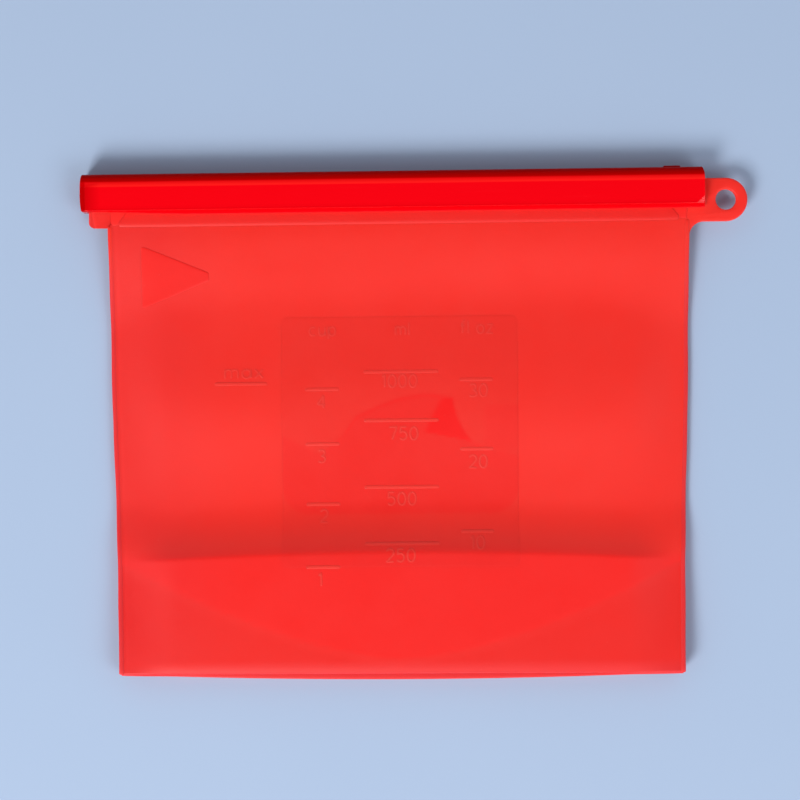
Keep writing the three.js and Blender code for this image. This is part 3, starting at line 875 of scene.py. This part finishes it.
def bar_half_outline():
    """Half of the bar's outer outline in (y, distance from its middle plane), from lip to spine."""
    edge = BAR_EDGE
    lip = BAR_SLOT / 2 + BAR_LIP["thickness"]
    face = BAR_HEIGHT / 2 - BAR_RAIL["height"]
    step = BAR_LOW + BAR_LIP["width"]
    spine = BAR_HIGH - SPINE_RADIUS
    rail = spine - BAR_RAIL["bevel"]
    across_face = [(step + inward, face) for inward in (1.0, 2.0, 3.0, 5.5)]  # keep its tones apart
    return ([(BAR_LOW, BAR_SLOT / 2 + edge)]
            + arc_points((BAR_LOW + edge, lip - edge), edge, 180, 90, 4) + [(step, lip)]
            + arc_points((step + edge, face - edge), edge, 180, 90, 4)
            + across_face + [(rail - 0.4, face), (rail, face), (spine - BAND_OVERLAP, BAR_HEIGHT / 2 - 0.1)]
            + arc_points((spine, BAR_HEIGHT / 2 - SPINE_RADIUS), SPINE_RADIUS, 90, 0, 10))


def bar_outline():
    """The bar's outer outline in (y, z): over the top from lip to spine, and back underneath."""
    middle = BAR_HEIGHT / 2
    half = bar_half_outline()
    return [(y, middle + h) for y, h in half] + [(y, middle - h) for y, h in reversed(half)]


def bar_section():
    """Closed C-shaped section of the bar in (y, z)."""
    middle = BAR_HEIGHT / 2
    outer = bar_outline()
    low, high = BAR_LOW + BAR_JAW, BAR_HIGH - BAR_WALL
    left, right = low + BAR_CAVITY_CORNER, high - BAR_CAVITY_CORNER
    down, up = BAR_WALL + BAR_CAVITY_CORNER, BAR_HEIGHT - BAR_WALL - BAR_CAVITY_CORNER
    inner = round_corners([(left, down), (right, down), (right, up), (left, up)], BAR_CAVITY_CORNER, 180, 8)
    lip_low, lip_high = middle - BAR_SLOT / 2, middle + BAR_SLOT / 2
    return (outer + [(BAR_LOW + BAR_EDGE, lip_low), (low, lip_low)] + inner
            + [(low, lip_high), (BAR_LOW + BAR_EDGE, lip_high)])


def united(obj, others):
    """obj joined with the others into one closed body."""
    for other in others:
        join = obj.modifiers.new("join", "BOOLEAN")
        join.operation = "UNION"
        join.solver = "EXACT"
        join.object = other
    evaluated(obj)
    for other in others:
        bpy.data.objects.remove(other)
    return obj


def with_entry_bevel(loops):
    """The upper face falls away at the corner where the bar slides on, and the spine's end is rounded."""
    step = BAR_LOW + BAR_LIP["width"]
    lip = BAR_HEIGHT / 2 + BAR_SLOT / 2 + BAR_LIP["thickness"]
    bevelled = []
    for loop in loops:
        x, y, z = np.array(loop, float).T
        near = 1 - (BAR_RIGHT - x) / ENTRY_BEVEL["along"] - (y - step) / ENTRY_BEVEL["across"]
        drop = ENTRY_BEVEL["depth"] * np.clip(near, 0, 1) * (z > lip + 0.05)
        at_end = smooth((x - (BAR_RIGHT - SPINE_END["along"])) / SPINE_END["along"])
        at_spine = np.clip((y - (BAR_HIGH - SPINE_END["across"])) / SPINE_END["across"], 0, 1)
        pulled = SPINE_END["pull"] * at_end * at_spine ** 2
        bevelled.append(np.stack([x - pulled, y, z - drop], 1))
    return bevelled


def closed_end():
    """The wall that closes the bar's left end, slightly convex."""
    outline = drawn_in(bar_outline(), BAR_END_INSET)
    low = BAR_LEFT + BAR_END_BULGE
    high = low + BAR_END_WALL
    places = [low, low + 0.5, high - 0.5, high]
    loops = []
    for loop in rounded_run(outline, places, radius=0.18):
        x, y, z = np.array(loop, float).T
        off_middle = (y - (BAR_LOW + BAR_HIGH) / 2) / (BAR_HIGH - BAR_LOW) * 2
        near = np.clip(1 - (x - low) / BAR_END_WALL, 0, 1)
        loops.append(np.stack([x - BAR_END_BULGE * near * (1 - off_middle ** 2), y, z], 1))
    return mesh_object("bar_end", loop_sweep(loops))


def thumb_nub():
    """The small nub on the spine near the open end, sunk into the bar."""
    left, right = THUMB_NUB["left"], THUMB_NUB["right"]
    outline = rounded_box(BAR_HIGH - 1, BAR_HIGH + THUMB_NUB["proud"], THUMB_NUB["low"],
                          THUMB_NUB["high"], THUMB_NUB_ROUNDING)
    places = [left, *np.linspace(left + 1.1, right - 1.1, 3), right]
    return mesh_object("bar_nub", loop_sweep(rounded_run(outline, places, radius=0.35)))


def narrow_lip(obj):
    """The lip starts narrow at the closed end and is at its full width a little further on."""
    step = BAR_LOW + BAR_LIP["width"]
    for vertex in obj.data.vertices:
        x, y, _ = (vertex.co - SHIFT) / MM
        if y < step:
            width = mix(LIP_START["share"], 1, float(smooth((x - BAR_LEFT) / LIP_START["along"])))
            vertex.co.y += (step - y) * (1 - width) * MM


def bar_values(obj):
    """Marks the bar's spine, closed end and face's edge, which are painted darker (partly for the depth of
    plastic there, mostly as painted shade), and its rail, which is painted paler as a painted highlight.
    """
    x, y, _ = ((np.array([v.co for v in obj.data.vertices]) - np.array(SHIFT)) / MM).T
    face_low = BAR_LOW + BAR_LIP["width"]
    rail_low = BAR_HIGH - SPINE_RADIUS - BAR_RAIL["bevel"]
    spine = beyond(y, BAR_HIGH - SPINE_RADIUS - BAND_OVERLAP, 0.4)
    end = smooth((BAR_LEFT + BAR_END_BULGE + 1.7 - x) / 0.5)
    face_edge = smooth((face_low + 1.2 - y) / 0.6) * (y > face_low - 0.1)
    # Painted shade: the spine, the closed end and the face's edge by the lip are darker for the shadow and
    # refraction seen through the plastic there, and partly for its depth.
    point_values(obj, "thick_and_shaded", np.maximum(spine, np.maximum(0.8 * end, 0.3 * face_edge)))
    # Painted highlight: the rail gets a paler colour for the bright line that light draws along it.
    point_values(obj, "rail", smooth((y - rail_low + 0.2) / 0.2) * (1 - spine) * (1 - end))


def slide_bar(material):
    """The C-shaped run, its closed end and its thumb nub as one body."""
    overlap = 0.4  # the run starts inside the closed end
    start = BAR_LEFT + BAR_END_BULGE + BAR_END_WALL - overlap
    near_end = BAR_RIGHT - ENTRY_BEVEL["along"]
    places = np.concatenate([np.linspace(start, near_end, 40), np.linspace(near_end, BAR_RIGHT, 6)[1:]])
    run = with_entry_bevel(rounded_run(bar_section(), places, radius=0.2))
    obj = united(mesh_object("slide_bar_plastic", loop_sweep(run)), [closed_end(), thumb_nub()])
    narrow_lip(obj)
    shaded_smooth(obj.data, 32)
    bar_values(obj)
    return finished(obj, material, body="bar", replaces=["slide_bar"])


# ---- Materials ----

class Nodes:
    """Short calls for building the nodes of one material or world."""

    def __init__(self, owner):
        owner.use_nodes = True
        self.owner = owner
        self.tree = owner.node_tree
        self.tree.nodes.clear()

    def add(self, kind, settings=None, **inputs):
        node = self.tree.nodes.new(kind)
        for key, value in (settings or {}).items():
            setattr(node, key, value)
        for key, value in inputs.items():
            self.put(node, key.replace("_", " "), value)
        return node

    def put(self, node, socket, value):
        socket = node.inputs[socket]
        if isinstance(value, bpy.types.NodeSocket):
            self.tree.links.new(value, socket)
        else:
            socket.default_value = value

    def place(self):
        return self.add("ShaderNodeTexCoord").outputs["Object"]

    def noise(self, scale, detail=3.0, roughness=0.5, stretch=None):
        where = self.place()
        if stretch:
            where = self.add("ShaderNodeMapping", Vector=where, Scale=stretch).outputs[0]
        return self.add("ShaderNodeTexNoise", Vector=where, Scale=scale, Detail=detail,
                        Roughness=roughness).outputs["Fac"]

    def span(self, value, low, high, start=0.0, end=1.0):
        return self.add("ShaderNodeMapRange", Value=value, From_Min=start, From_Max=end, To_Min=low,
                        To_Max=high).outputs[0]

    def math(self, operation, first, second):
        node = self.add("ShaderNodeMath", {"operation": operation})
        self.put(node, 0, first)
        self.put(node, 1, second)
        return node.outputs[0]

    def mix_colour(self, share, first, second):
        node = self.add("ShaderNodeMix", {"data_type": "RGBA"})
        self.put(node, 0, share)
        self.put(node, 6, first)
        self.put(node, 7, second)
        return node.outputs[2]

    def attribute(self, name):
        return self.add("ShaderNodeAttribute", {"attribute_name": name}).outputs["Fac"]

    def bump(self, height, strength, distance, normal=None):
        node = self.add("ShaderNodeBump", Height=height, Strength=strength, Distance=distance)
        if normal:
            self.put(node, "Normal", normal)
        return node.outputs[0]

    def output(self, kind, surface):
        """The material or world, with its surface going to an output node of one kind."""
        self.add(kind, Surface=surface)
        return self.owner


def silicone():
    """Satin translucent red silicone: soft mottling, fine moulded grain, dust and rubbed patches."""
    n = Nodes(bpy.data.materials.new("silicone_red"))
    mottling = n.span(n.noise(22, 4, 0.6), 0, 1, 0.3, 0.75)
    colour = n.mix_colour(mottling, (0.915, 0.0215, 0.013, 1), (0.92, 0.025, 0.0155, 1))
    deep, deepest = (0.93, 0.008, 0.006), (0.97, 0.002, 0.001)
    dull, greyed, paler = (0.82, 0.016, 0.010), (0.72, 0.022, 0.030), (0.95, 0.052, 0.038)
    # The clinging value deepens the colour where the walls lie together; on the front rim it is partly
    # painted light, a deeper, brighter red for the red glow that the bar's plastic throws on it.
    pressed = n.attribute("clinging")
    for share, tone in (
        (n.math("MULTIPLY", n.attribute("backed"), 0.8), deep),
        (n.math("MULTIPLY", n.math("MINIMUM", pressed, 1.0), 0.55), deep),
        (n.math("SUBTRACT", pressed, 1.0), deepest),
        (n.math("MULTIPLY", n.attribute("bonded"), 0.6), dull),
        # The weld tone is partly a painted sheen: a greyer pink on the seams, the hems, the front wall's
        # left side and the hem's rounded edge.
        (n.math("MULTIPLY", n.attribute("weld_tone_and_painted_sheen"), 0.7), greyed),
        (n.math("MULTIPLY", n.attribute("raised"), 0.35), paler),
    ):
        colour = n.mix_colour(n.span(share, 0, 1), colour, (*tone, 1))
    specks = n.span(n.noise(1900, 1, 0.4), 0, 0.35, 0.80, 0.84)
    colour = n.mix_colour(specks, colour, (0.95, 0.25, 0.22, 1))
    rubbed = n.noise(60, 5, 0.65)
    roughness = n.span(rubbed, 0.45, 0.53, 0.3, 0.7)
    grain = n.bump(n.noise(2600, 2, 0.5), 0.25, 0.00006)
    soft = n.bump(n.noise(70, 3, 0.5), 0.13, 0.0004, grain)
    shader = n.add("ShaderNodeBsdfPrincipled", Base_Color=colour, Roughness=roughness, Normal=soft)
    shader.subsurface_method = "RANDOM_WALK"
    for socket, value in (("Subsurface Weight", 0.35), ("Subsurface Scale", 0.0015), ("IOR", 1.41),
                          ("Sheen Weight", 0.06), ("Sheen Roughness", 0.4)):
        shader.inputs[socket].default_value = value
    shader.inputs["Subsurface Radius"].default_value = (1.0, 0.25, 0.2)
    return n.output("ShaderNodeOutputMaterial", shader.outputs[0])


def bar_plastic():
    """Translucent red moulded plastic: glossy, with fine scratches and smears. Its spine, closed end and
    the face's edge are darker, partly for the depth of plastic there and mostly as painted shade, and its
    rail is a little paler as a painted highlight.
    """
    n = Nodes(bpy.data.materials.new("bar_red_plastic"))
    thick_and_shaded = n.attribute("thick_and_shaded")
    # Painted highlight: the rail is a little paler.
    colour = n.mix_colour(n.attribute("rail"), (1.0, 0.0006, 0.006, 1), (1.0, 0.011, 0.010, 1))
    # Painted shade: the spine, closed end and face's edge are darker, partly for the depth of plastic and
    # mostly for shadow and refraction seen through it.
    colour = n.mix_colour(thick_and_shaded, colour, (0.42, 0.0004, 0.0004, 1))
    smears = n.span(n.noise(45, 4, 0.6, (1, 3, 3)), 0.10, 0.18, 0.35, 0.7)
    scratches = n.noise(900, 2, 0.5, (0.02, 1, 1))
    roughness = n.math("ADD", smears, n.span(scratches, 0, 0.12, 0.62, 0.75))
    drawn = n.bump(scratches, 0.08, 0.00003)
    waves = n.bump(n.noise(35, 2, 0.5, (0.4, 1, 1)), 0.12, 0.0003, drawn)
    shader = n.add("ShaderNodeBsdfPrincipled", Base_Color=colour, Roughness=roughness, Normal=waves)
    n.put(shader, "IOR", n.span(thick_and_shaded, 1.40, 1.08))
    shader.inputs["Transmission Weight"].default_value = 0.06
    return n.output("ShaderNodeOutputMaterial", shader.outputs[0])


def floor_material():
    n = Nodes(bpy.data.materials.new("floor_pale"))
    tone = n.mix_colour(n.noise(9, 3, 0.5), (0.39, 0.50, 0.69, 1), (0.41, 0.52, 0.71, 1))
    grain = n.bump(n.noise(1500, 2, 0.5), 0.15, 0.0001)
    shader = n.add("ShaderNodeBsdfPrincipled", Base_Color=tone, Normal=grain)
    shader.inputs["Roughness"].default_value = 0.8
    return n.output("ShaderNodeOutputMaterial", shader.outputs[0])


# ---- Studio ----

def camera():
    """Straight down from above, as the photograph was taken, turned by the bag's slight tilt in it."""
    middle_x, middle_y, height = -0.37, 103.6, 780
    data = bpy.data.cameras.new("camera")
    data.sensor_width = 36
    data.lens = 94.4
    data.clip_start = 0.01
    obj = in_scene("camera", data)
    obj.location = (SHIFT.x + middle_x * MM, SHIFT.y + middle_y * MM, height * MM)
    obj.rotation_euler = (0, 0, math.radians(-0.765))
    bpy.context.scene.camera = obj


def area_light(name, azimuth, elevation, size, power, colour):
    """A square soft light aimed at the frame's origin. Azimuth 0 stands at +X, 90 at +Y."""
    distance = 2.4
    data = bpy.data.lights.new(name, "AREA")
    data.energy = power
    data.size = size
    data.color = colour
    obj = in_scene(name, data)
    a, e = math.radians(azimuth), math.radians(elevation)
    away = Vector((math.cos(a) * math.cos(e), math.sin(a) * math.cos(e), math.sin(e)))
    obj.location = away * distance
    obj.rotation_euler = away.to_track_quat("Z", "Y").to_euler()


def world_light():
    """Even soft light from all round, weaker overhead."""
    n = Nodes(bpy.data.worlds.new("studio"))
    where = n.add("ShaderNodeTexCoord").outputs["Generated"]
    upwards = n.add("ShaderNodeSeparateXYZ", Vector=where).outputs[2]
    strength = n.span(upwards, 0.70, 0.03, 0.60, 0.90)
    light = n.add("ShaderNodeBackground", Color=(0.93, 0.96, 1.0, 1), Strength=strength)
    bpy.context.scene.world = n.output("ShaderNodeOutputWorld", light.outputs[0])


def table():
    """The plain floor that the bag lies on."""
    sides = ((-1, -1), (1, -1), (1, 1), (-1, 1))
    corners = [(x * FLOOR_REACH, y * FLOOR_REACH, 0) for x, y in sides]
    floor = mesh_object("floor", (corners, [(0, 1, 2, 3)]))
    floor.location.z = -FLOOR_DROP * MM
    floor.data.materials.append(floor_material())


def studio():
    camera()
    world_light()
    area_light("key", azimuth=235, elevation=40, size=0.9, power=48, colour=(1.0, 0.98, 0.95))
    area_light("fill", azimuth=320, elevation=45, size=1.4, power=16, colour=(0.95, 0.97, 1.0))
    bpy.context.scene.view_settings.view_transform = "Standard"
    table()


# ---- Assembly ----

def build():
    red = silicone()
    front_wall(red)
    back_wall(red)
    bottom_gusset(red)
    side_seam("left_side_seam", -1, red)
    side_seam("right_side_seam", 1, red)
    hems(red)
    front_rim(red)
    back_rim(red)
    hanging_tab(red)
    scale_plate(red)
    scale_marks(red)
    max_fill_mark(red)
    closing_arrow(red)
    slide_bar(bar_plastic())
    studio()


build()
